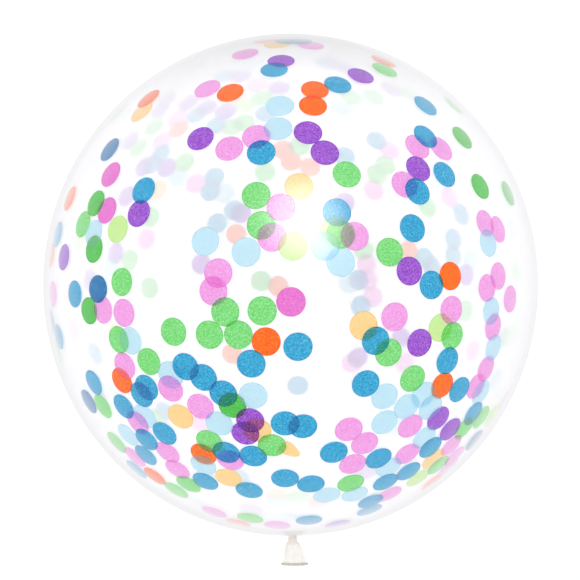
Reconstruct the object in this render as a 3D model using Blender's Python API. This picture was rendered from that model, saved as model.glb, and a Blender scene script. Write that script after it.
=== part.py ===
"""A giant confetti balloon of clear latex, blown round and tied in its own neck, lying on its side.

Metres, +Z up. The balloon's own axis runs along Y, from the crown at +Y to the open end of the tail at -Y.
The origin is the middle of the small flat spot on which the body lies.
The body is sealed, so it is solid, and only the tail below the knot is a hollow, open tube.
"""

from math import acos, asin, cos, pi, radians, sin, sqrt, tan

import bmesh
import bpy
from mathutils import Vector

# The inflated body
BODY_DIAMETER = 0.900
BODY_LENGTH = 0.913
FLAT_SPOT_RADIUS = 0.045

# The hollow curve where the body runs into its neck, and the neck above the knot
SHOULDER_FILLET = 0.0060
THROAT_DIAMETER = 0.0120
THROAT_LENGTH = 0.0027

# The knot, which the neck makes around itself
KNOT_WIDTH = 0.0165
KNOT_DEPTH = 0.0145
KNOT_LENGTH = 0.0100

# The tail, a flattened tube that flares out below the knot and leans a little towards +X
WAIST_WIDTH = 0.0130
WAIST_DEPTH = 0.0110
MOUTH_WIDTH = 0.0428
MOUTH_DEPTH = 0.0120
TAIL_LENGTH = 0.0435
TAIL_LEAN = radians(5)
TAIL_WALL = 0.0006
KNOT_TO_MOUTH_BOTTOM = 0.0060
FLARE_POWER = 0.36

# The gathers run along the neck, deepest at the throat and the waist, and die out at the lip
GATHERS = 8
GATHER_DEPTH = 0.10

# The rolled lip
BEAD_DIAMETER = 0.0042

# How finely the round surface is cut into flats
SIDES = 56
BODY_RINGS = 36
FILLET_RINGS = 4
KNOT_RINGS = 6
TAIL_RINGS = 7
BEAD_RINGS = 9

BODY_RADIUS = BODY_DIAMETER / 2
AXIS_HEIGHT = sqrt(BODY_RADIUS**2 - FLAT_SPOT_RADIUS**2)
FILLET_OUTSIDE = THROAT_DIAMETER / 2 + SHOULDER_FILLET


def body_half_length(radius):
    """How far the body reaches from its middle along Y, at this distance from its axis."""
    return BODY_LENGTH / 2 * sqrt(1 - (radius / BODY_RADIUS) ** 2)


THROAT_TOP = -body_half_length(FILLET_OUTSIDE) - SHOULDER_FILLET
KNOT_TOP = THROAT_TOP - THROAT_LENGTH
WAIST = KNOT_TOP - KNOT_LENGTH
LIP = WAIST - TAIL_LENGTH


def ring(y, half_width, half_depth, gather=0.0):
    """One closed row of points around the axis, an oval with its long way along X."""
    sideways = tan(TAIL_LEAN) * max(0, WAIST - y)
    points = []
    for side in range(SIDES):
        angle = 2 * pi * side / SIDES
        swell = 1 + gather * cos(GATHERS * angle)
        x = sideways + half_width * swell * cos(angle)
        z = AXIS_HEIGHT + half_depth * swell * sin(angle)
        points.append(Vector((x, y, z)))
    return points


def body_rings():
    """The body, an ellipsoid, from just beside the crown to where the shoulder fillet starts."""
    last = pi - asin(FILLET_OUTSIDE / BODY_RADIUS)
    rings = []
    for step in range(1, BODY_RINGS + 1):
        angle = last * step / BODY_RINGS
        radius = BODY_RADIUS * sin(angle)
        rings.append(ring(BODY_LENGTH / 2 * cos(angle), radius, radius))
    return rings


def shoulder_rings():
    """A quarter of a hollow round, from the body's end face down onto the throat."""
    rings = []
    for step in range(1, FILLET_RINGS + 1):
        angle = pi / 2 * step / FILLET_RINGS
        radius = FILLET_OUTSIDE - SHOULDER_FILLET * sin(angle)
        y = THROAT_TOP + SHOULDER_FILLET * cos(angle)
        rings.append(ring(y, radius, radius, GATHER_DEPTH * sin(angle)))
    return rings


def knot_rings():
    """The knot swells out of the throat and draws in again to the waist."""
    rings = []
    for step in range(KNOT_RINGS + 1):
        share = step / KNOT_RINGS
        bulge = sqrt(sin(pi * share))
        core_width = THROAT_DIAMETER + (WAIST_WIDTH - THROAT_DIAMETER) * share
        core_depth = THROAT_DIAMETER + (WAIST_DEPTH - THROAT_DIAMETER) * share
        half_width = (core_width + (KNOT_WIDTH - core_width) * bulge) / 2
        half_depth = (core_depth + (KNOT_DEPTH - core_depth) * bulge) / 2
        y = KNOT_TOP - KNOT_LENGTH * share
        rings.append(ring(y, half_width, half_depth, GATHER_DEPTH * (1 - bulge)))
    return rings


# How far down the tail each of its rings is, closer together at the top, where it opens fastest
TAIL_SHARES = [(step / TAIL_RINGS) ** 2 for step in range(1, TAIL_RINGS)]


def tail_ring(share, wall=0.0):
    """The tail's outline at this share of the way from waist to lip, or its inside with a wall."""
    flare = share**FLARE_POWER
    half_width = (WAIST_WIDTH + (MOUTH_WIDTH - WAIST_WIDTH) * flare) / 2 - wall
    half_depth = (WAIST_DEPTH + (MOUTH_DEPTH - WAIST_DEPTH) * flare) / 2 - wall
    return ring(WAIST - TAIL_LENGTH * share, half_width, half_depth, GATHER_DEPTH * (1 - share))


def tail_rings():
    """The outside of the tail, from under the waist to just above the lip."""
    return [tail_ring(share) for share in TAIL_SHARES]


def bead_rings():
    """The lip, rolled outwards, its inner side in line with the inside of the tail."""
    radius = BEAD_DIAMETER / 2
    first = pi - acos(1 - TAIL_WALL / radius)
    rings = []
    for step in range(BEAD_RINGS + 1):
        angle = first - (first + pi) * step / BEAD_RINGS
        out = radius * (1 + cos(angle)) - TAIL_WALL
        y = LIP + radius * (1 + sin(angle))
        rings.append(ring(y, MOUTH_WIDTH / 2 + out, MOUTH_DEPTH / 2 + out))
    return rings


def mouth_rings():
    """The inside of the tail, from the lip up towards the knot that shuts it."""
    inside = [share for share in TAIL_SHARES if TAIL_LENGTH * share > KNOT_TO_MOUTH_BOTTOM]
    return [tail_ring(share, TAIL_WALL) for share in reversed(inside)]


def join_rings(mesh, rings, crown, mouth_bottom):
    """Joins each ring to the next, and closes the two ends on a point."""
    rows = [[mesh.verts.new(point) for point in points] for points in rings]
    first_point = mesh.verts.new(crown)
    last_point = mesh.verts.new(mouth_bottom)
    for side in range(SIDES):
        after = (side + 1) % SIDES
        mesh.faces.new((first_point, rows[0][side], rows[0][after]))
        mesh.faces.new((last_point, rows[-1][after], rows[-1][side]))
        for upper, lower in zip(rows, rows[1:]):
            mesh.faces.new((upper[side], lower[side], lower[after], upper[after]))


def press_flat(mesh):
    """Cuts the underside off level at Z 0 and fills the cut with one flat face."""
    everything = mesh.verts[:] + mesh.edges[:] + mesh.faces[:]
    cut = bmesh.ops.bisect_plane(
        mesh, geom=everything, plane_co=(0, 0, 0), plane_no=(0, 0, 1), clear_inner=True
    )
    rim = [part for part in cut["geom_cut"] if isinstance(part, bmesh.types.BMEdge)]
    bmesh.ops.contextual_create(mesh, geom=rim)


def clear_latex():
    """Thin natural rubber: clear, faintly milky and glossy."""
    material = bpy.data.materials.new("clear_latex")
    material.use_nodes = True
    shader = material.node_tree.nodes["Principled BSDF"]
    shader.inputs["Base Color"].default_value = (0.93, 0.93, 0.94, 1)
    shader.inputs["Roughness"].default_value = 0.18
    shader.inputs["Metallic"].default_value = 0.0
    shader.inputs["Alpha"].default_value = 0.35
    return material


def make_balloon():
    """The whole balloon is one piece of latex, from its crown to its lip."""
    outside = body_rings() + shoulder_rings() + knot_rings() + tail_rings()
    crown = (0, BODY_LENGTH / 2, AXIS_HEIGHT)
    lean = tan(TAIL_LEAN) * KNOT_TO_MOUTH_BOTTOM
    mouth_bottom = (lean, WAIST - KNOT_TO_MOUTH_BOTTOM, AXIS_HEIGHT)
    mesh = bmesh.new()
    join_rings(mesh, outside + bead_rings() + mouth_rings(), crown, mouth_bottom)
    press_flat(mesh)
    bmesh.ops.recalc_face_normals(mesh, faces=mesh.faces)
    data = bpy.data.meshes.new("balloon")
    mesh.to_mesh(data)
    mesh.free()
    data.shade_smooth()
    data.materials.append(clear_latex())
    bpy.context.scene.collection.objects.link(bpy.data.objects.new("balloon", data))


for leftover in list(bpy.data.objects):
    bpy.data.objects.remove(leftover)
make_balloon()
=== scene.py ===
"""A giant confetti balloon of clear latex, with round pieces of tissue paper sealed inside."""

from math import acos, asin, atan2, cos, exp, pi, radians, sin, sqrt, tan
from random import Random

import bpy
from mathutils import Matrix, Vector


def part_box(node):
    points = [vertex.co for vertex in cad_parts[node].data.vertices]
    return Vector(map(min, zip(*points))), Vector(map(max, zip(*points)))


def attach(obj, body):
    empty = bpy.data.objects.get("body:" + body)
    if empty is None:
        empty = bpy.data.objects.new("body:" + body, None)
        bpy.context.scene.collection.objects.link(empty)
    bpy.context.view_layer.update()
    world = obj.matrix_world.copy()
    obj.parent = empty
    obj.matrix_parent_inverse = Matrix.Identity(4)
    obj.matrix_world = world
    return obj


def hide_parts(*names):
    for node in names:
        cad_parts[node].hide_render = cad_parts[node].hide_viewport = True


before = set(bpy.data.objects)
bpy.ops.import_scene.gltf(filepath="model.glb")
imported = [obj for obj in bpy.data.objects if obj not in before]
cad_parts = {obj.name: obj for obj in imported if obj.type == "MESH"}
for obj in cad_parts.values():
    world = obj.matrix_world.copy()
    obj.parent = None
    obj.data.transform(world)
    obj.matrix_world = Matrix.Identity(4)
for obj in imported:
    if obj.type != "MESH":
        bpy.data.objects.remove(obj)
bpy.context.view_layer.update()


# The view. The balloon lies on its side and the camera hangs over its middle, as far off as the
# photograph's, which looks square at its side. Everything seen in the picture is placed through it.

PICTURE_SIDE = 580
BODY_MIDDLE_IN_PICTURE = (290.6, 284.9)
CAMERA_TO_BODY_MIDDLE = 2.386
LENS = 80
SENSOR = 36
CAMERA_ROLL = radians(-0.43)
NEAREST_SEEN = 0.05

balloon_low, balloon_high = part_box("balloon")
body_radius = (balloon_high[0] - balloon_low[0]) / 2
body_half_length = balloon_high[1]
body_middle = Vector((0, 0, balloon_high[2] - body_radius))

picture_focus = PICTURE_SIDE * LENS / SENSOR
metres_per_pixel = CAMERA_TO_BODY_MIDDLE / picture_focus
aim_right = (PICTURE_SIDE / 2 - BODY_MIDDLE_IN_PICTURE[0]) * metres_per_pixel
aim_up = (BODY_MIDDLE_IN_PICTURE[1] - PICTURE_SIDE / 2) * metres_per_pixel

camera = bpy.data.objects.new("camera", bpy.data.cameras.new("camera"))
camera.data.lens = LENS
camera.data.sensor_width = SENSOR
camera.data.clip_start = NEAREST_SEEN
camera.location = body_middle + Vector((aim_right, aim_up, CAMERA_TO_BODY_MIDDLE))
camera.rotation_euler = (0, 0, CAMERA_ROLL)
bpy.context.scene.collection.objects.link(camera)
bpy.context.scene.camera = camera


# The balloon itself is one skin of natural latex. It was dipped on a form, blown to a ball and shut by
# a knot in its own neck. Below the knot the slack tail flares to its lip, which is rolled into a bead.

FILLET = 0.0060
THROAT_RADIUS = 0.0060
THROAT_LENGTH = 0.0027
KNOT_HALF_WIDTH = 0.00825
KNOT_HALF_DEPTH = 0.00725
KNOT_LENGTH = 0.0100
KNOT_SLANT = 0.16
WAIST_HALF_WIDTH = 0.0065
WAIST_HALF_DEPTH = 0.0055
MOUTH_HALF_WIDTH = 0.0214
MOUTH_HALF_DEPTH = 0.0060
TAIL_LEAN = radians(5)
TAIL_WALL = 0.0006
FLARE_POWER = 0.45
MOUTH_BOTTOM = 0.0060
BEAD_RADIUS = 0.0021
KNOT_TURN = 0.9
CROSSING_DEPTH = 0.10
CROSSING_LENGTH = 0.10
CROSSING_TURN = 0.6
GATHER_DEPTH = 0.10
GATHERS_PULLED_FLAT = 0.75
FAN_DEPTH = 0.5 * GATHER_DEPTH
FAN_SLOPE = 0.25
FAN_REACH = 0.035
FAN_FADE = FAN_REACH / 3
HAZE_DEPTH = 0.0040

# The gathers are three rounds of folds: how many there are, how deep, and where they start.
gather_rounds = [(8, 0.5, 0.0), (5, 0.35, 1.1), (13, 0.3, 0.4)]

SIDES = 192
BODY_RINGS = 110
RINGS_CROWD_TO_NECK = 1.25
NECK_RINGS = 8
KNOT_RINGS = 18
TAIL_RINGS = 22
BEAD_RINGS = 14

fillet_outside = THROAT_RADIUS + FILLET
throat_top = -body_half_length * sqrt(1 - (fillet_outside / body_radius) ** 2) - FILLET
knot_top = throat_top - THROAT_LENGTH
waist = knot_top - KNOT_LENGTH
lip = balloon_low[1]
tail_length = waist - lip


def gathers(angle):
    """How far the bunched skin stands out or in at this angle, an uneven round of soft folds."""
    return sum(depth * cos(folds * angle + start) for folds, depth, start in gather_rounds)


def skin_ring(y, half_width, half_depth, gather=0.0):
    """One round of points on the skin, an oval about the balloon's axis, never below the flat spot."""
    sideways = tan(TAIL_LEAN) * max(0, waist - y)
    points = []
    for side in range(SIDES):
        angle = 2 * pi * side / SIDES
        swell = 1 + gather * gathers(angle)
        x = sideways + half_width * swell * cos(angle)
        z = body_middle.z + half_depth * swell * sin(angle)
        points.append((x, y, max(z, 0)))
    return points


def body_skin():
    """The ball, with folds that fan out a hand's breadth from the throat and fade."""
    last = pi - asin(fillet_outside / body_radius)
    rings = []
    for step in range(1, BODY_RINGS + 1):
        angle = last * (1 - (1 - step / BODY_RINGS) ** RINGS_CROWD_TO_NECK)
        radius = body_radius * sin(angle)
        fold = 0.0
        if angle > pi / 2:
            fold = FAN_DEPTH * exp(-(radius - fillet_outside) / FAN_FADE)
        y = body_half_length * cos(angle)
        slope = FAN_SLOPE * fold * fillet_outside
        rings.append([(x, y - slope * gathers(2 * pi * side / SIDES), z)
                      for side, (x, _, z) in enumerate(skin_ring(y, radius, radius))])
    return rings


def neck_skin():
    """From the end of the ball over the fillet, the throat and the knot down to the waist."""
    rings = []
    for step in range(1, NECK_RINGS + 1):
        angle = pi / 2 * step / NECK_RINGS
        radius = fillet_outside - FILLET * sin(angle)
        rings.append(skin_ring(throat_top + FILLET * cos(angle), radius, radius, GATHER_DEPTH * sin(angle)))
    for step in range(KNOT_RINGS + 1):
        rings.append(knot_ring(step / KNOT_RINGS))
    return rings


def knot_ring(share):
    """The knot is the neck's own turn about itself, so its swell runs at a slant round the throat."""
    points = []
    for side in range(SIDES):
        angle = 2 * pi * side / SIDES
        slanted = share + KNOT_SLANT * sin(pi * share) * cos(angle - KNOT_TURN)
        bulge = sqrt(max(0, sin(pi * min(1, max(0, slanted)))))
        crossing = CROSSING_DEPTH * exp(-((slanted - 0.5) / CROSSING_LENGTH) ** 2)
        crossing *= cos(2 * angle + CROSSING_TURN)
        core = THROAT_RADIUS + (WAIST_HALF_WIDTH - THROAT_RADIUS) * share
        core_depth = THROAT_RADIUS + (WAIST_HALF_DEPTH - THROAT_RADIUS) * share
        pulled = 1 - GATHERS_PULLED_FLAT * bulge
        fold = 1 + GATHER_DEPTH * gathers(angle) * pulled - crossing * bulge
        half_width = (core + (KNOT_HALF_WIDTH - core) * bulge) * fold
        half_depth = (core_depth + (KNOT_HALF_DEPTH - core_depth) * bulge) * fold
        points.append((half_width * cos(angle), knot_top - KNOT_LENGTH * share,
                       body_middle.z + half_depth * sin(angle)))
    return points


tail_shares = [(step / TAIL_RINGS) ** 2 for step in range(1, TAIL_RINGS)]


def tail_ring(share, wall=0.0):
    """The tail's outline at this share of the way from waist to lip, or its inside with a wall."""
    flare = share**FLARE_POWER
    half_width = WAIST_HALF_WIDTH + (MOUTH_HALF_WIDTH - WAIST_HALF_WIDTH) * flare - wall
    half_depth = WAIST_HALF_DEPTH + (MOUTH_HALF_DEPTH - WAIST_HALF_DEPTH) * flare - wall
    return skin_ring(waist - tail_length * share, half_width, half_depth, GATHER_DEPTH * (1 - share))


def lip_skin():
    """The bead, rolled outwards, its inner side in line with the inside of the tail."""
    first = pi - acos(1 - TAIL_WALL / BEAD_RADIUS)
    rings = []
    for step in range(BEAD_RINGS + 1):
        angle = first - (first + pi) * step / BEAD_RINGS
        out = BEAD_RADIUS * (1 + cos(angle)) - TAIL_WALL
        y = lip + BEAD_RADIUS * (1 + sin(angle))
        rings.append(skin_ring(y, MOUTH_HALF_WIDTH + out, MOUTH_HALF_DEPTH + out))
    return rings


def mesh_object(name, points, faces):
    """A smooth piece from its points and faces."""
    data = bpy.data.meshes.new(name)
    data.from_pydata(points, [], faces)
    data.validate()
    data.shade_smooth()
    piece = bpy.data.objects.new(name, data)
    bpy.context.scene.collection.objects.link(piece)
    return piece


def closed_skin(rings, first_point, last_point):
    """The points and faces of a skin through these rings, shut on a point at each end."""
    points = [point for ring in rings for point in ring] + [first_point, last_point]
    faces = []
    for side in range(SIDES):
        after = (side + 1) % SIDES
        faces.append((len(points) - 2, side, after))
        for row in range(len(rings) - 1):
            here = row * SIDES
            faces.append((here + side, here + SIDES + side, here + SIDES + after, here + after))
        here = (len(rings) - 1) * SIDES
        faces.append((len(points) - 1, here + after, here + side))
    return points, faces


# The outer skin, from the crown over the lip to the bottom of the mouth, then the milky face inside it.
body_rings = body_skin()
inside_rings = [tail_ring(share, TAIL_WALL) for share in reversed(tail_shares)
                if tail_length * share > MOUTH_BOTTOM]
tail_rings = [tail_ring(share) for share in tail_shares]
skin_rings = body_rings + neck_skin() + tail_rings + lip_skin() + inside_rings
crown = (0, body_half_length, body_middle.z)
mouth_bottom = (tan(TAIL_LEAN) * MOUTH_BOTTOM, waist - MOUTH_BOTTOM, body_middle.z)
points, faces = closed_skin(skin_rings, crown, mouth_bottom)
outer_faces = len(faces)

inner_rings = []
for step in range(1, BODY_RINGS):
    angle = pi * step / BODY_RINGS
    radius = (body_radius - HAZE_DEPTH) * sin(angle)
    ring = skin_ring((body_half_length - HAZE_DEPTH) * cos(angle), radius, radius)
    inner_rings.append([(x, y, max(z, HAZE_DEPTH)) for x, y, z in ring])
inner_crown = (0, body_half_length - HAZE_DEPTH, body_middle.z)
inner_foot = (0, HAZE_DEPTH - body_half_length, body_middle.z)
inner_points, inner_faces = closed_skin(inner_rings, inner_crown, inner_foot)
faces += [tuple(len(points) + corner for corner in reversed(face)) for face in inner_faces]
points += inner_points
balloon = mesh_object("latex_balloon", points, faces)


def new_material(name):
    """A material with nothing in it yet but its output."""
    material = bpy.data.materials.new(name)
    material.use_nodes = True
    material.node_tree.nodes.clear()
    output = material.node_tree.nodes.new("ShaderNodeOutputMaterial")
    return material, material.node_tree, output


def add_node(tree, kind, **inputs):
    """A new node whose inputs are set to a value, or linked when an output is given."""
    node = tree.nodes.new(kind)
    for name, value in inputs.items():
        socket = node.inputs[name.replace("_", " ")]
        if isinstance(value, bpy.types.NodeSocket):
            tree.links.new(value, socket)
        else:
            socket.default_value = value
    return node


def add_maths(tree, operation, *values):
    """The output of a Math node, each of whose inputs is a value or another output."""
    node = tree.nodes.new("ShaderNodeMath")
    node.operation = operation
    for socket, value in zip(node.inputs, values):
        if isinstance(value, bpy.types.NodeSocket):
            tree.links.new(value, socket)
        else:
            socket.default_value = value
    return node.outputs[0]


def mix_shaders(tree, share, first, second):
    """The output of a mix of two shaders, with this share of the second."""
    mixed = tree.nodes.new("ShaderNodeMixShader")
    for socket, value in zip(mixed.inputs, (share, first, second)):
        if isinstance(value, bpy.types.NodeSocket):
            tree.links.new(value, socket)
        else:
            socket.default_value = value
    return mixed.outputs[0]


def surface_place(tree):
    """A point of the surface in the balloon's own frame, and how far along the balloon it is."""
    place = add_node(tree, "ShaderNodeTexCoord").outputs["Object"]
    return place, add_node(tree, "ShaderNodeSeparateXYZ", Vector=place).outputs["Y"]


CLOUD_DETAIL = 3.0
END_POWER = 4.0


def dipped_latex():
    """The uneven thickness of a dipped skin: soft clouds, and thicker at the crown and the neck."""
    group = bpy.data.node_groups.new("dipped_latex", "ShaderNodeTree")
    sockets = group.interface
    sockets.new_socket(name="Cloud Scale", in_out="INPUT", socket_type="NodeSocketFloat")
    sockets.new_socket(name="Cloud Depth", in_out="INPUT", socket_type="NodeSocketFloat")
    sockets.new_socket(name="End Depth", in_out="INPUT", socket_type="NodeSocketFloat")
    sockets.new_socket(name="Thickness", in_out="OUTPUT", socket_type="NodeSocketFloat")
    given = group.nodes.new("NodeGroupInput").outputs
    place, along = surface_place(group)
    clouds = add_node(group, "ShaderNodeTexNoise", Vector=place,
                      Scale=given["Cloud Scale"], Detail=CLOUD_DETAIL).outputs[0]
    clouds = add_maths(group, "SUBTRACT", clouds, 0.5)
    ends = add_maths(group, "ABSOLUTE", add_maths(group, "DIVIDE", along, lip))
    ends = add_maths(group, "POWER", ends, END_POWER)
    thickness = add_maths(group, "MULTIPLY_ADD", clouds, given["Cloud Depth"], 1.0)
    thickness = add_maths(group, "MULTIPLY_ADD", ends, given["End Depth"], thickness)
    group.links.new(thickness, group.nodes.new("NodeGroupOutput").inputs["Thickness"])
    return group


latex_thickness = dipped_latex()


def thickness_of(tree, cloud_scale, cloud_depth, end_depth):
    """The thickness output of the shared group, set up in this material."""
    node = tree.nodes.new("ShaderNodeGroup")
    node.node_tree = latex_thickness
    node.inputs["Cloud Scale"].default_value = cloud_scale
    node.inputs["Cloud Depth"].default_value = cloud_depth
    node.inputs["End Depth"].default_value = end_depth
    return node.outputs["Thickness"]


GLOSS_HEAD_ON = 0.02
GLOSS_GROWTH = 2.3
GLOSS_POWER = 4.2
GLOSS_COLOUR = (0.82, 0.815, 0.83, 1)
GLOSS_ROUGHNESS = 0.22
DULL_UP_TO = 0.002
DULL_REACH = 0.030
DULL_LEAST = 0.15


def clear_latex():
    """The stretched skin's outer face: clear, glossier the more it turns away, dull by the throat."""
    material, tree, output = new_material("clear_latex")
    thickness = thickness_of(tree, cloud_scale=9.0, cloud_depth=0.6, end_depth=0.0)
    facing = add_node(tree, "ShaderNodeLayerWeight", Blend=0.5).outputs["Facing"]
    rise = add_maths(tree, "POWER", facing, GLOSS_POWER)
    share = add_maths(tree, "MULTIPLY_ADD", rise, GLOSS_GROWTH, GLOSS_HEAD_ON)
    share = add_maths(tree, "MINIMUM", share, 1.0)
    _, along = surface_place(tree)
    dulling = add_node(tree, "ShaderNodeMapRange", Value=along, From_Min=throat_top + DULL_UP_TO,
                       From_Max=throat_top + DULL_REACH, To_Min=DULL_LEAST).outputs[0]
    share = add_maths(tree, "MULTIPLY", share, dulling)
    roughness = add_maths(tree, "MULTIPLY", thickness, GLOSS_ROUGHNESS)
    clear = add_node(tree, "ShaderNodeBsdfTransparent").outputs[0]
    gloss = add_node(tree, "ShaderNodeBsdfGlossy", Color=GLOSS_COLOUR, Roughness=roughness).outputs[0]
    tree.links.new(mix_shaders(tree, share, clear, gloss), output.inputs[0])
    return material


HAZE_CLEAR_HEAD_ON = 0.56
HAZE_COLOUR = (0.94, 0.938, 0.945, 1)
MILK_FRONT_SHARE = 0.5
LEAST_COSINE = 0.03


def milky_latex():
    """The inner face of the skin: the milk in the latex hides what is not pressed against it."""
    material, tree, output = new_material("milky_latex")
    thickness = thickness_of(tree, cloud_scale=5.0, cloud_depth=0.5, end_depth=0.3)
    facing = add_node(tree, "ShaderNodeLayerWeight", Blend=0.5).outputs["Facing"]
    cosine = add_maths(tree, "SUBTRACT", 1.0 + LEAST_COSINE, facing)
    way_through = add_maths(tree, "DIVIDE", thickness, cosine)
    clear_share = add_maths(tree, "POWER", HAZE_CLEAR_HEAD_ON, way_through)
    clear = add_node(tree, "ShaderNodeBsdfTransparent").outputs[0]
    back_light = add_node(tree, "ShaderNodeBsdfTranslucent", Color=HAZE_COLOUR).outputs[0]
    front_light = add_node(tree, "ShaderNodeBsdfDiffuse", Color=HAZE_COLOUR).outputs[0]
    milk = mix_shaders(tree, MILK_FRONT_SHARE, back_light, front_light)
    tree.links.new(mix_shaders(tree, clear_share, milk, clear), output.inputs[0])
    return material


SLACK_COLOUR = (0.915, 0.90, 0.88, 1)
LIP_COLOUR = (0.60, 0.595, 0.515, 1)
CREASE_SLANT = radians(-18)
CREASE_SIZE = (0.0042, 0.0150, 0.0050)
CREASE_SHADE_AND_RELIEF = 2.0
KNOT_SHADE_AND_RELIEF = 2.0
KNOT_SHADE_BELOW = 0.8
KNOT_SHADE_ABOVE = 0.3
LIP_SHADE_FULL = 1.6
LIP_SHADE_END = 2.4
CREASE_DETAIL = 2.0
SLACK_THROUGH = 0.45


def slack_latex():
    """Slack and thick in the neck, the same latex is milky throughout, and darkest in the rolled lip. Its
    creases and its knot are darkened with painted shade, which also feeds the bump.
    """
    material, tree, output = new_material("slack_latex")
    thickness = thickness_of(tree, cloud_scale=160.0, cloud_depth=1.2, end_depth=0.0)
    place, along = surface_place(tree)
    # Dark streaks of painted shade in the creases, slanted from the knot; they also raise the bump.
    slanted = add_node(tree, "ShaderNodeMapping", Vector=place,
                       Rotation=(0, 0, CREASE_SLANT), Scale=CREASE_SIZE)
    slanted.vector_type = "TEXTURE"
    crease_shade = add_node(tree, "ShaderNodeTexNoise", Vector=slanted.outputs[0],
                       Scale=1.0, Detail=CREASE_DETAIL).outputs[0]
    crease_shade = add_maths(tree, "SUBTRACT", crease_shade, 0.5)
    thickness = add_maths(tree, "MULTIPLY_ADD", crease_shade, CREASE_SHADE_AND_RELIEF, thickness)
    # Painted shade darkens the knot; it also feeds the bump a little.
    knot_shade = add_node(tree, "ShaderNodeMapRange", Value=along,
                       From_Min=waist - KNOT_SHADE_BELOW * KNOT_LENGTH,
                       From_Max=waist + KNOT_SHADE_ABOVE * KNOT_LENGTH).outputs[0]
    thickness = add_maths(tree, "MULTIPLY_ADD", knot_shade, KNOT_SHADE_AND_RELIEF, thickness)
    in_lip = add_node(tree, "ShaderNodeMapRange", Value=along,
                      From_Min=lip + LIP_SHADE_END * BEAD_RADIUS,
                      From_Max=lip + LIP_SHADE_FULL * BEAD_RADIUS).outputs[0]
    tone = tree.nodes.new("ShaderNodeMix")
    tone.data_type = "RGBA"
    tree.links.new(in_lip, tone.inputs["Factor"])
    slack_colour, lip_colour = [socket for socket in tone.inputs if socket.type == "RGBA"]
    slack_colour.default_value = SLACK_COLOUR
    lip_colour.default_value = LIP_COLOUR
    mixed, = [socket for socket in tone.outputs if socket.type == "RGBA"]
    deeper = add_node(tree, "ShaderNodeGamma", Color=mixed, Gamma=thickness).outputs[0]
    relief = add_node(tree, "ShaderNodeBump", Height=thickness, Strength=0.3, Distance=0.0006).outputs[0]
    shader = add_node(tree, "ShaderNodeBsdfPrincipled", Base_Color=deeper, Roughness=0.35, Normal=relief)
    back_light = add_node(tree, "ShaderNodeBsdfTranslucent", Color=deeper)
    latex = mix_shaders(tree, SLACK_THROUGH, shader.outputs[0], back_light.outputs[0])
    tree.links.new(latex, output.inputs[0])
    return material


balloon.data.materials.append(clear_latex())
balloon.data.materials.append(slack_latex())
balloon.data.materials.append(milky_latex())
SLACK, MILKY = 1, 2
for face in balloon.data.polygons:
    if face.index >= outer_faces:
        face.material_index = MILKY
    elif face.center.y < throat_top:
        face.material_index = SLACK
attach(balloon, "root")
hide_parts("balloon")


# The confetti. Rounds of tissue paper punched from stacks of eight colours, blown in with the air and
# held against the inside of the skin by static. The paper is so thin that one round shows through
# another. The rounds of one colour are one piece.

ROUND_RADIUS = 0.0223
OUTLINE_POINTS = 28
INNER_ROW = 0.5
CUT_EDGE = 0.93
PAPER = 0.0001
SKIN_GAP = 0.0007
STACK_STEP = 0.0004
EDGE_CURL = 0.00012
FOLDED_ROUND = (290, 451)
FOLDED_TURN = radians(-38)
FOLD_LENGTH = 0.036
FOLD_HALF_WIDTH = 0.0165
FOLD_POINT = 0.0065
FOLDED_LAYERS = 3
TOUCHING = 2.05 * ROUND_RADIUS / body_radius
HIDDEN_ROUNDS = 30
HIDDEN_LOWEST = -0.6
HIDDEN_FURTHEST = 0.2
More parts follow.
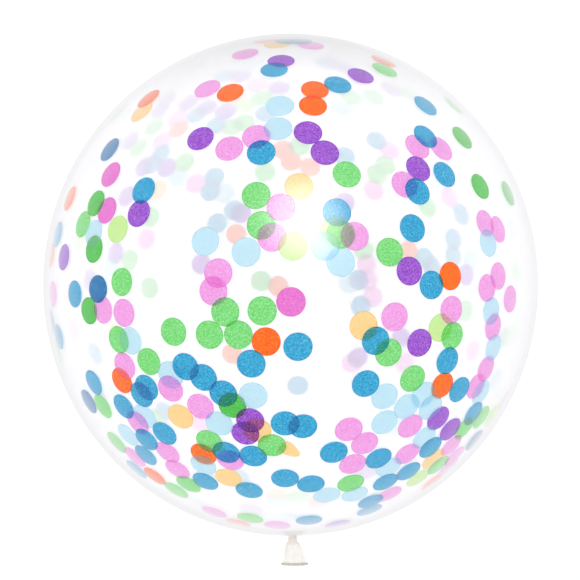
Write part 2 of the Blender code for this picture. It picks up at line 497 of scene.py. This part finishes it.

# Where the photograph shows the rounds, in its pixels, as read off it: first those on the near wall.
near_rounds = {
    "blue": [
        (274, 69), (261, 152), (109, 149), (143, 190), (97, 289), (74, 294), (338, 84), (426, 105),
        (426, 136), (445, 174), (418, 191), (413, 228), (337, 212), (432, 285), (251, 364), (185, 367),
        (203, 378), (223, 394), (146, 388), (141, 395), (93, 383), (88, 402), (123, 407), (146, 440),
        (164, 434), (145, 456), (205, 482), (249, 491), (226, 453), (253, 457), (285, 424), (285, 479),
        (298, 347), (376, 341), (448, 361), (366, 384), (460, 390), (334, 453), (379, 459), (474, 414),
        (431, 448), (409, 472), (386, 483), (311, 485), (303, 427), (288, 40), (299, 40), (52, 230),
        (57, 234), (50, 321), (58, 337), (136, 470), (371, 502), (370, 511), (309, 521), (475, 441),
    ],
    "sky": [
        (280, 105), (278, 128), (93, 233), (205, 241), (246, 252), (325, 246), (341, 262), (489, 243),
        (130, 341), (253, 396), (170, 375), (219, 424), (144, 417), (127, 436), (203, 466), (492, 311),
        (494, 348), (482, 393), (385, 397), (407, 407), (424, 395), (431, 408), (385, 423), (389, 468),
        (425, 438), (327, 496), (355, 495),
    ],
    "pink": [
        (245, 53), (207, 88), (229, 148), (256, 136), (110, 174), (106, 210), (281, 207), (272, 237),
        (218, 273), (213, 291), (418, 146), (442, 148), (405, 184), (355, 236), (486, 223), (499, 229),
        (499, 276), (488, 288), (102, 310), (123, 313), (124, 366), (170, 389), (200, 407), (137, 423),
        (167, 453), (134, 458), (177, 470), (230, 461), (291, 302), (452, 310), (395, 317), (494, 327),
        (487, 369), (477, 387), (411, 427), (349, 430), (365, 444), (353, 465), (408, 455), (452, 446),
        (455, 457), (52, 294), (311, 44), (214, 513), (277, 526), (390, 495), (511, 299), (506, 401),
        (449, 468),
    ],
    "purple": [
        (281, 60), (200, 138), (138, 213), (361, 75), (308, 132), (325, 152), (419, 168), (410, 271),
        (250, 421), (245, 434), (420, 343), (439, 419), (451, 430), (63, 257), (338, 525),
    ],
    "green": [
        (95, 203), (82, 224), (93, 249), (256, 195), (261, 225), (121, 282), (347, 174), (341, 234),
        (463, 137), (481, 186), (390, 252), (88, 311), (173, 332), (118, 340), (148, 362), (225, 312),
        (209, 335), (238, 335), (262, 311), (232, 406), (102, 407), (188, 485), (209, 442), (272, 446),
        (389, 353), (453, 336), (413, 379), (465, 429), (482, 418), (351, 484), (116, 112), (385, 69),
        (455, 104), (509, 193), (56, 351), (116, 443), (176, 491), (250, 519), (439, 466),
    ],
    "lime": [(117, 229), (335, 230), (293, 246), (441, 328), (419, 479), (493, 416)],
    "orange": [
        (230, 92), (315, 89), (313, 105), (451, 276), (266, 342), (121, 381), (203, 455), (443, 386),
        (266, 39), (148, 98), (69, 198), (50, 255), (384, 60), (154, 477), (238, 524), (433, 483),
    ],
    "peach": [
        (141, 111), (299, 186), (180, 417), (228, 479), (257, 431), (364, 326), (434, 460), (277, 43),
    ],
}

# Those on the far wall, which show as a faint blur.
far_rounds = {
    "blue": [
        (196, 114), (216, 125), (160, 153), (151, 164), (214, 177), (210, 191), (217, 223), (234, 210),
        (266, 113), (225, 74), (326, 62), (345, 156), (377, 140), (462, 214), (454, 239), (454, 256),
        (425, 258), (432, 266), (359, 280), (361, 306), (298, 386), (94, 354), (164, 412), (497, 380),
    ],
    "sky": [
        (224, 193), (343, 107), (178, 176), (250, 62), (349, 283), (472, 260), (512, 226), (277, 502),
        (266, 517),
    ],
    "pink": [
        (177, 117), (161, 140), (195, 183), (146, 239), (390, 150), (374, 190), (450, 197), (367, 264),
        (368, 280), (373, 297), (352, 363), (405, 363), (474, 351), (72, 330), (257, 84), (200, 425),
    ],
    "purple": [
        (166, 98), (159, 109), (188, 102), (206, 107), (225, 111), (129, 140), (143, 166), (166, 167),
        (241, 213), (201, 264), (115, 253), (345, 202), (401, 338), (358, 358), (126, 196), (279, 87),
        (240, 75), (331, 60), (467, 275), (252, 511), (368, 473), (392, 88), (195, 64), (345, 66),
    ],
    "green": [
        (153, 126), (232, 126), (244, 122), (184, 162), (137, 147), (261, 281), (265, 172), (299, 146),
        (386, 165), (377, 174), (352, 96), (374, 96), (149, 288), (129, 260), (150, 217), (364, 250),
        (428, 207), (298, 498), (262, 97), (518, 270), (517, 330), (407, 91),
    ],
    "lime": [(245, 104)],
    "orange": [
        (283, 149), (291, 161), (310, 167), (178, 128), (236, 234), (278, 286), (232, 354), (409, 251),
    ],
    "peach": [(327, 196), (157, 190)],
}

# Rounds that still have the next one of their punched stack stuck to the back, and so look deeper.
stuck_rounds = {
    "blue": [(97, 289), (109, 149), (88, 402), (475, 441), (50, 321)],
    "pink": [(110, 174), (106, 210), (291, 302)],
    "green": [
        (481, 186), (509, 193), (463, 137), (455, 104), (95, 203), (88, 311), (93, 249), (232, 406),
    ],
}

PAPER_DENSITY = 0.88
PAPER_THROUGH = 0.88
EDGE_SHADE_DEPTH = 0.6
CLOUDS_PER_METRE = 380.0
FIBRES_PER_METRE = 900.0
FIBRE_TWIST = 1.5
DEEP_GRAIN = 1.7
PALE_GRAIN = 0.8
pale_colours = ("sky", "lime", "peach")

tissue_colours = {
    "blue": (0.02, 0.39, 0.66),
    "sky": (0.56, 0.81, 0.91),
    "pink": (0.90, 0.37, 0.79),
    "purple": (0.35, 0.08, 0.64),
    "green": (0.21, 0.74, 0.20),
    "lime": (0.62, 0.87, 0.34),
    "orange": (0.98, 0.14, 0.00),
    "peach": (0.98, 0.69, 0.29),
}


def skin_radius(direction):
    """How far the skin is from the body's middle in this direction."""
    across = (direction.x**2 + direction.z**2) / body_radius**2
    return 1 / sqrt(across + direction.y**2 / body_half_length**2)


def wall_direction(place, far):
    """From the body's middle to where the line of sight through this pixel meets the near or far wall."""
    x, y = place
    sight = Vector(((x - PICTURE_SIDE / 2) / picture_focus, (PICTURE_SIDE / 2 - y) / picture_focus, -1))
    sight = camera.matrix_world.to_3x3() @ sight.normalized()
    start = camera.matrix_world.translation - body_middle
    squash = Vector((1 / body_radius, 1 / body_half_length, 1 / body_radius))
    from_ball = start * squash
    step = sight * squash
    a, b, c = step.dot(step), from_ball.dot(step), from_ball.dot(from_ball) - 1
    inside = max(b * b - a * c, 0)
    reach = (-b + sqrt(inside)) / a if far else (-b - sqrt(inside)) / a
    return (start + sight * reach).normalized()


def cut_round():
    """The outline of a whole round, about its middle."""
    steps = [2 * pi * step / OUTLINE_POINTS for step in range(OUTLINE_POINTS)]
    return [(ROUND_RADIUS * cos(angle), ROUND_RADIUS * sin(angle)) for angle in steps]


def folded_round():
    """A round with both sides folded in to a blunt point, about its middle, the point towards +u."""
    outline = []
    for step in range(OUTLINE_POINTS):
        angle = 2 * pi * step / OUTLINE_POINTS
        half_width = FOLD_POINT + (FOLD_HALF_WIDTH - FOLD_POINT) * (1 - cos(angle)) / 2
        fullness = sin(angle) / sqrt(abs(sin(angle)) + 1e-6)
        outline.append((FOLD_LENGTH / 2 * cos(angle), half_width * fullness))
    return outline


def wrapped_sheet(direction, outline, turn, gap, thickness):
    """The points and faces of a small sheet that lies along the skin, a gap inside it."""
    right = Vector((1, 0, 0))
    right = (right - direction * right.dot(direction)).normalized()
    up = direction.cross(right)
    rows = [([(0, 0)], 0), (outline[::2], INNER_ROW), (outline, CUT_EDGE), (outline, 1.0)]
    points = []
    for depth in (0, thickness):
        for row, share in rows:
            for u, v in row:
                arc = share * sqrt(u * u + v * v) / body_radius
                angle = atan2(v, u) + turn
                way = direction * cos(arc) + (right * cos(angle) + up * sin(angle)) * sin(arc)
                curl = EDGE_CURL * share * (1 + sin(2 * angle + turn))
                point = body_middle + way * (skin_radius(way) - gap - curl - depth)
                point.z = max(point.z, gap + curl + depth)
                points.append(point)
    few, many, half = len(outline) // 2, len(outline), len(points) // 2
    faces = []
    for step in range(few):
        after = (step + 1) % few
        a, b = 1 + step, 1 + after
        p, q, r = 1 + few + 2 * step, 2 + few + 2 * step, 1 + few + 2 * after
        faces += [(0, a, b), (a, p, q), (a, q, b), (b, q, r)]
    for step in range(many):
        a, b = 1 + few + step, 1 + few + (step + 1) % many
        faces.append((a, a + many, b + many, b))
    faces += [tuple(half + corner for corner in reversed(face)) for face in faces]
    for step in range(many):
        a, b = half - many + step, half - many + (step + 1) % many
        faces.append((a, a + half, b + half, b))
    return points, faces


bpy.context.view_layer.update()
luck = Random(7)
sheets = []
for far, rounds in enumerate((near_rounds, far_rounds)):
    for colour, places in rounds.items():
        for place in places:
            way = wall_direction(place, far)
            sheets.append((colour, way, cut_round(), luck.uniform(0, 2 * pi), PAPER))
way = wall_direction(FOLDED_ROUND, far=False)
sheets.append(("peach", way, folded_round(), FOLDED_TURN, FOLDED_LAYERS * PAPER))
hidden = 0
while hidden < HIDDEN_ROUNDS:
    way = Vector((luck.gauss(0, 1), luck.gauss(0, 1), luck.gauss(0, 1))).normalized()
    if HIDDEN_LOWEST < way.z < 0 and way.y < HIDDEN_FURTHEST:
        colour = luck.choice(list(near_rounds))
        sheets.append((colour, way, cut_round(), luck.uniform(0, 2 * pi), PAPER))
        hidden += 1
for colour, places in stuck_rounds.items():
    for place in places:
        way = wall_direction(place, far=False)
        sheets.append((colour, way, cut_round(), luck.uniform(0, 2 * pi), PAPER))

# Each round goes on the first layer, counted from the skin, that none of its neighbours is on.
spread = {colour: ([], []) for colour in near_rounds}
laid = []
for colour, way, outline, turn, thickness in sheets:
    taken = {layer for other, layer in laid if (other - way).length < TOUCHING}
    layer = min(set(range(len(taken) + 1)) - taken)
    laid.append((way, layer))
    points, faces = wrapped_sheet(way, outline, turn, SKIN_GAP + STACK_STEP * layer, thickness)
    all_points, all_faces = spread[colour]
    all_faces += [tuple(len(all_points) + corner for corner in face) for face in faces]
    all_points += points


def tissue_grain():
    """The clouds and fibres of tissue paper, deeper in colour where it is thicker, and painted shade along
    its rim.
    """
    group = bpy.data.node_groups.new("tissue_grain", "ShaderNodeTree")
    sockets = group.interface
    sockets.new_socket(name="Colour", in_out="INPUT", socket_type="NodeSocketColor")
    sockets.new_socket(name="Cloud Depth", in_out="INPUT", socket_type="NodeSocketFloat")
    sockets.new_socket(name="Fibre Depth", in_out="INPUT", socket_type="NodeSocketFloat")
    sockets.new_socket(name="Edge Shade Depth", in_out="INPUT", socket_type="NodeSocketFloat")
    sockets.new_socket(name="Colour", in_out="OUTPUT", socket_type="NodeSocketColor")
    sockets.new_socket(name="Thickness", in_out="OUTPUT", socket_type="NodeSocketFloat")
    given = group.nodes.new("NodeGroupInput").outputs
    result = group.nodes.new("NodeGroupOutput").inputs
    place = add_node(group, "ShaderNodeTexCoord").outputs["Object"]
    clouds = add_node(group, "ShaderNodeTexNoise", Vector=place,
                      Scale=CLOUDS_PER_METRE, Detail=CLOUD_DETAIL).outputs[0]
    clouds = add_maths(group, "SUBTRACT", clouds, 0.5)
    fibres = add_node(group, "ShaderNodeTexNoise", Vector=place,
                      Scale=FIBRES_PER_METRE, Detail=2.0, Distortion=FIBRE_TWIST).outputs[0]
    fibres = add_maths(group, "SUBTRACT", fibres, 0.5)
    # Painted shade along the rim of each round, read from the points marked at its edge.
    edge = group.nodes.new("ShaderNodeAttribute")
    edge.attribute_name = "painted_edge_shade"
    thickness = add_maths(group, "MULTIPLY_ADD", clouds, given["Cloud Depth"], PAPER_DENSITY)
    thickness = add_maths(group, "MULTIPLY_ADD", fibres, given["Fibre Depth"], thickness)
    thickness = add_maths(group, "MULTIPLY_ADD", edge.outputs["Fac"], given["Edge Shade Depth"], thickness)
    deeper = add_node(group, "ShaderNodeGamma", Color=given["Colour"], Gamma=thickness).outputs[0]
    group.links.new(deeper, result["Colour"])
    group.links.new(thickness, result["Thickness"])
    return group


grain = tissue_grain()


def tissue(name, colour, grain_depth):
    """Matt tissue paper. Most of the light that it colours comes through it, and its back is left clear."""
    material, tree, output = new_material(name)
    paper = tree.nodes.new("ShaderNodeGroup")
    paper.node_tree = grain
    paper.inputs["Colour"].default_value = (*colour, 1)
    paper.inputs["Cloud Depth"].default_value = grain_depth
    paper.inputs["Fibre Depth"].default_value = grain_depth
    paper.inputs["Edge Shade Depth"].default_value = EDGE_SHADE_DEPTH
    relief = add_node(tree, "ShaderNodeBump", Height=paper.outputs["Thickness"],
                      Strength=0.4, Distance=PAPER).outputs[0]
    front = add_node(tree, "ShaderNodeBsdfPrincipled", Base_Color=paper.outputs["Colour"],
                     Roughness=0.9, Normal=relief)
    back_light = add_node(tree, "ShaderNodeBsdfTranslucent", Color=paper.outputs["Colour"])
    sheet = mix_shaders(tree, PAPER_THROUGH, front.outputs[0], back_light.outputs[0])
    far_face = add_node(tree, "ShaderNodeBsdfTransparent").outputs[0]
    inside = add_node(tree, "ShaderNodeNewGeometry").outputs["Backfacing"]
    tree.links.new(mix_shaders(tree, inside, sheet, far_face), output.inputs[0])
    return material


points_in_face = 1 + OUTLINE_POINTS // 2 + 2 * OUTLINE_POINTS
first_at_edge = points_in_face - OUTLINE_POINTS
for colour, (points, faces) in spread.items():
    confetti = mesh_object("confetti_" + colour, points, faces)
    grain_depth = PALE_GRAIN if colour in pale_colours else DEEP_GRAIN
    confetti.data.materials.append(tissue("tissue_" + colour, tissue_colours[colour], grain_depth))
    # The rim points of each round carry its painted edge shade.
    at_edge = [float(point % points_in_face >= first_at_edge) for point in range(len(points))]
    confetti.data.attributes.new("painted_edge_shade", "FLOAT", "POINT").data.foreach_set("value", at_edge)
    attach(confetti, "root")


# The floor is plain white paper, laid flat just under the balloon and lit a little from behind. A soft
# patch of painted shade greys its colour and its glow outside the picture, behind the crown, where only
# the gloss of the latex shows it.

FLOOR_SIDE = 12
FLOOR_GAP = 0.0005
FLOOR_GLOW = 0.66
FLOOR_GREY = 0.30
PAINTED_SHADE_MIDDLE = (0, 1.72, 0)
PAINTED_SHADE_WIDTH = 1.15
PAINTED_SHADE_FULL = 0.25
PAINTED_SHADE_END = 1.12
PAINTED_SHADE_LIGHT = 0.52

half = FLOOR_SIDE / 2
corners = [(x, y, -FLOOR_GAP) for x, y in ((-half, -half), (half, -half), (half, half), (-half, half))]
floor = mesh_object("floor", corners, [(0, 1, 2, 3)])
material, tree, output = new_material("white_floor")
place, _ = surface_place(tree)
from_middle = add_node(tree, "ShaderNodeMapping", Vector=place,
                       Location=PAINTED_SHADE_MIDDLE, Scale=(PAINTED_SHADE_WIDTH, 1, 1))
from_middle.vector_type = "TEXTURE"
distance = tree.nodes.new("ShaderNodeVectorMath")
distance.operation = "LENGTH"
tree.links.new(from_middle.outputs[0], distance.inputs[0])
# Painted shade: the floor's grey and glow are lowest in the patch middle and rise back to full.
lit = add_node(tree, "ShaderNodeMapRange", Value=distance.outputs["Value"],
               From_Min=PAINTED_SHADE_FULL, From_Max=PAINTED_SHADE_END, To_Min=PAINTED_SHADE_LIGHT).outputs[0]
glow = add_maths(tree, "MULTIPLY", lit, FLOOR_GLOW)
grey = add_maths(tree, "MULTIPLY", lit, FLOOR_GREY)
shader = add_node(tree, "ShaderNodeBsdfPrincipled", Base_Color=grey, Roughness=0.9,
                  Emission_Color=(1, 1, 1, 1), Emission_Strength=glow)
tree.links.new(shader.outputs[0], output.inputs[0])
floor.data.materials.append(material)


# The light is even, soft and white from all round, a little stronger overhead. One round lamp behind
# the crown makes the soft highlight, and only that: it doesn't light the paper or cast a shade.

KEY_PLACE = Vector((0.365, 1.42, 3.44))
KEY_SIZE = 1.75
KEY_WATTS = 225
key = bpy.data.objects.new("key", bpy.data.lights.new("key", "AREA"))
key.data.shape = "DISK"
key.data.size = KEY_SIZE
key.data.energy = KEY_WATTS
key.visible_diffuse = False
key.location = KEY_PLACE
key.rotation_euler = (KEY_PLACE - body_middle).to_track_quat("Z", "Y").to_euler()
bpy.context.scene.collection.objects.link(key)

SIDE_LIGHT = 1.34
OVERHEAD_LIGHT = 1.58
OVERHEAD_FROM = 0.45
OVERHEAD_TO = 0.95
world = bpy.data.worlds.new("studio")
world.use_nodes = True
sky = world.node_tree
direction = add_node(sky, "ShaderNodeTexCoord").outputs["Generated"]
height = add_node(sky, "ShaderNodeSeparateXYZ", Vector=direction).outputs["Z"]
overhead = add_node(sky, "ShaderNodeMapRange", Value=height, From_Min=OVERHEAD_FROM,
                    From_Max=OVERHEAD_TO, To_Min=SIDE_LIGHT, To_Max=OVERHEAD_LIGHT)
overhead.interpolation_type = "SMOOTHSTEP"
sky.links.new(overhead.outputs[0], sky.nodes["Background"].inputs["Strength"])
sky.nodes["Background"].inputs["Color"].default_value = (1, 1, 1, 1)
bpy.context.scene.world = world
bpy.context.scene.view_settings.view_transform = "Standard"
